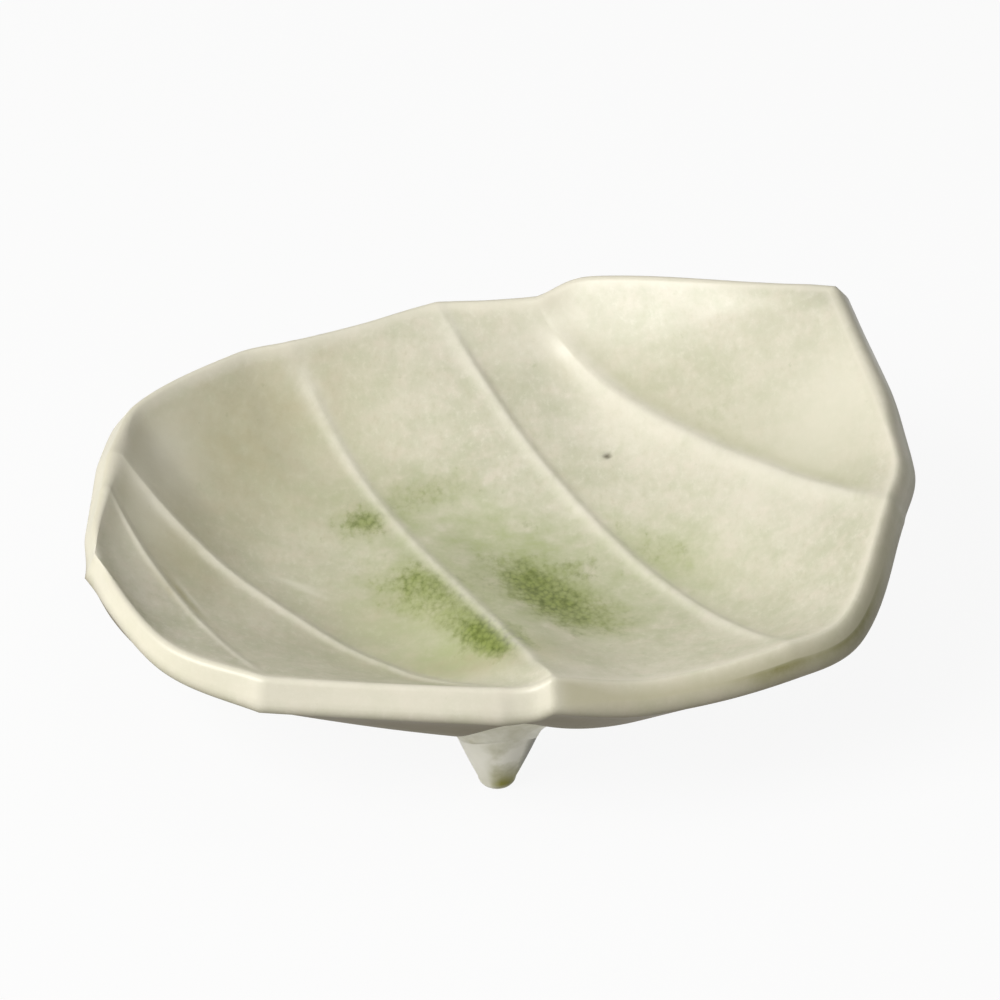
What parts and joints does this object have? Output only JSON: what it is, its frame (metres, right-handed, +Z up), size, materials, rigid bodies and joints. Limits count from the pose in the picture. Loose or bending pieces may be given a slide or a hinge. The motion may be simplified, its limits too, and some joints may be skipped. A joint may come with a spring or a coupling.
{
  "type": "footed plate",
  "caption": "Folded leaf-shaped stoneware plate for serving food, with raised fold lines, an angular rim rising to one high tip, pale crackled glaze and short cone feet.",
  "frame": {"origin": "on the table, under the middle of the dish's outline", "axes": "+X along the dish towards its high tip, +Y from the low front rim to the back rim, +Z up"},
  "size_m": [0.154, 0.1306, 0.0515],
  "materials": {
    "dish_glaze": "semi-gloss crackled celadon glaze",
    "foot_glaze": "semi-gloss celadon glaze with a wiped bare pad",
    "coil_glaze": "semi-gloss celadon glaze over a smoothed clay coil"
  },
  "bodies": {
    "root": {"dish": "dish_glaze", "foot_front": "foot_glaze", "luting_coil_front": "coil_glaze", "foot_back_left": "foot_glaze", "luting_coil_back_left": "coil_glaze", "foot_back_right": "foot_glaze", "luting_coil_back_right": "coil_glaze"}
  },
  "joints": []
}
